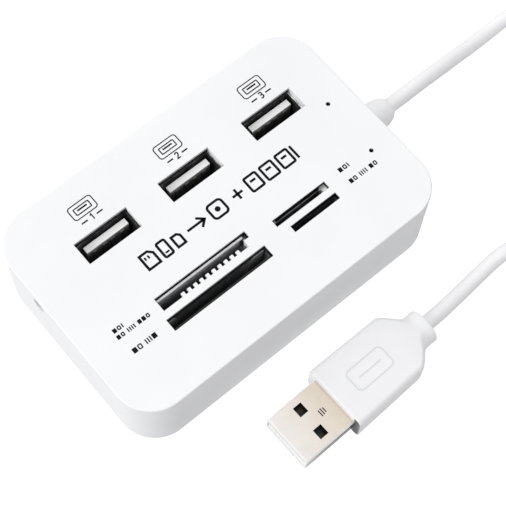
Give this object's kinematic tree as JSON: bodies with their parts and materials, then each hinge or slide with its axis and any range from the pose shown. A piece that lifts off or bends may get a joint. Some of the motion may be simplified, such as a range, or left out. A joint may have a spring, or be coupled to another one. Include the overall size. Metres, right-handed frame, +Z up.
{
  "type": "desktop hub with card reader",
  "caption": "Low white desktop hub with upright rectangular ports and memory card slots in its top, on a short white cord with a metal-shelled plug",
  "frame": {"origin": "centre of the body's underside, on the surface it stands on", "axes": "+X along the body towards the end that the cord leaves, +Y towards the row of ports, +Z up out of the top"},
  "size_m": [0.1485, 0.0854, 0.019],
  "materials": {
    "case_plastic": "fine satin moulded white plastic",
    "cover_plastic": "satin moulded white plastic",
    "screw_steel": "zinc-plated steel",
    "board": "green solder resist",
    "port_metal": "formed tin-plated sheet, dark inside",
    "socket_plastic": "white moulded insulator",
    "socket_black": "black moulded socket body",
    "contact_metal": "gold-plated spring contacts",
    "sheet_metal": "bright tin-plated sheet",
    "indicator_resin": "water-clear lamp resin",
    "black_plastic": "black moulded plastic",
    "chip_resin": "black moulding compound",
    "chip_part": "small ceramic parts",
    "cord_plastic": "soft white cord jacket, satin",
    "wire_red": "red wire insulation",
    "wire_white": "white wire insulation",
    "wire_green": "green wire insulation",
    "wire_black": "black wire insulation",
    "plug_plastic": "soft white overmould, satin",
    "plug_metal": "bright nickel-plated plug shell"
  },
  "bodies": {
    "root": {"top_shell": "case_plastic", "bottom_cover": "cover_plastic", "case_screws": "screw_steel", "circuit_board": "board", "port_shell_1": "port_metal", "port_shell_2": "port_metal", "port_shell_3": "port_metal", "port_tongue_1": "socket_plastic", "port_tongue_2": "socket_plastic", "port_tongue_3": "socket_plastic", "port_contacts_1": "contact_metal", "port_contacts_2": "contact_metal", "port_contacts_3": "contact_metal", "card_housing": "socket_black", "card_shield": "sheet_metal", "card_contacts": "contact_metal", "small_card_housing": "socket_black", "small_card_shield": "sheet_metal", "small_card_contacts": "contact_metal", "indicator_a": "indicator_resin", "indicator_b": "indicator_resin", "indicator_leads": "sheet_metal", "inlet_block": "black_plastic", "inlet_pin": "sheet_metal", "hub_chip": "chip_resin", "card_chip": "chip_resin", "crystal_can": "sheet_metal", "can_capacitor": "sheet_metal", "chip_parts": "chip_part", "strain_relief": "cord_plastic", "cord_inner_end": "cord_plastic", "wire_1": "wire_red", "wire_2": "wire_white", "wire_3": "wire_green", "wire_4": "wire_black", "cord_lead_out": "cord_plastic", "cord_coil": "cord_plastic", "cord_lead_in": "cord_plastic", "plug_overmould": "plug_plastic", "plug_shell": "plug_metal", "plug_insulator": "black_plastic", "plug_contacts": "contact_metal"}
  },
  "joints": []
}
